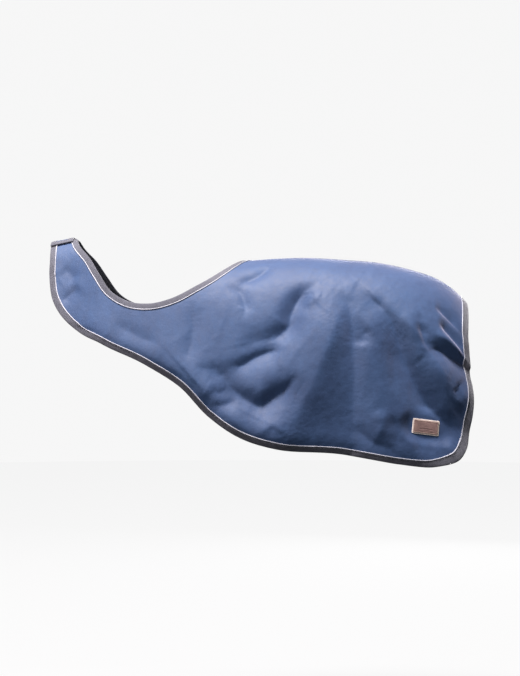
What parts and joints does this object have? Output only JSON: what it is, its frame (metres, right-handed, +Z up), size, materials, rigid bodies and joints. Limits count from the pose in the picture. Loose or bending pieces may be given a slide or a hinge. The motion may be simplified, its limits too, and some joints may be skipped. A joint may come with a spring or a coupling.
{
  "type": "turnout rug",
  "caption": "Navy waterproof horse rug for riding: two lined cloth panels joined along the spine, a saddle opening, grey bound edges with pale piping and a closing flap at the withers.",
  "frame": {"origin": "on the spine, on the lining's horse-side face, at the rear end of the saddle opening", "axes": "+X from the withers to the tail, -Y the horse's left side, +Z up; the rug is as worn by a horse"},
  "size_m": [1.3756, 0.6312, 0.7402],
  "materials": {
    "outer_cloth": "coated polyester weave with a soft sheen",
    "lining_cloth": "matte fine knit",
    "binding_webbing": "ribbed webbing tape, folded over the edge",
    "reflective_piping": "pale, slightly glossy piping",
    "badge_leather": "embossed brown leather, no lettering",
    "badge_backing": "beige leather",
    "fastener": "hook-and-loop",
    "loop_webbing": "flat webbing"
  },
  "bodies": {
    "rug": {"shell_left": "outer_cloth", "shell_right": "outer_cloth", "lining_left": "lining_cloth", "lining_right": "lining_cloth", "spine_tape": "outer_cloth", "seam_tape": "lining_cloth", "edge_binding": "binding_webbing", "edge_piping": "reflective_piping", "saddle_binding": "binding_webbing", "saddle_piping": "reflective_piping", "loop_strip": "fastener", "badge_backing": "badge_backing", "badge_patch": "badge_leather", "tail_loop_left": "loop_webbing", "tail_loop_right": "loop_webbing"},
    "closing_flap": {"flap_shell": "outer_cloth", "flap_lining": "lining_cloth", "flap_binding": "binding_webbing", "hook_strip": "fastener"}
  },
  "joints": [
    {"name": "closing_flap_hinge", "type": "hinge", "parent": "rug", "child": "closing_flap", "pos_m": [-0.59825, 0.035, 0.06306], "axis": [-0.9813, 0, -0.1925], "range_deg": [0, 150]}
  ]
}
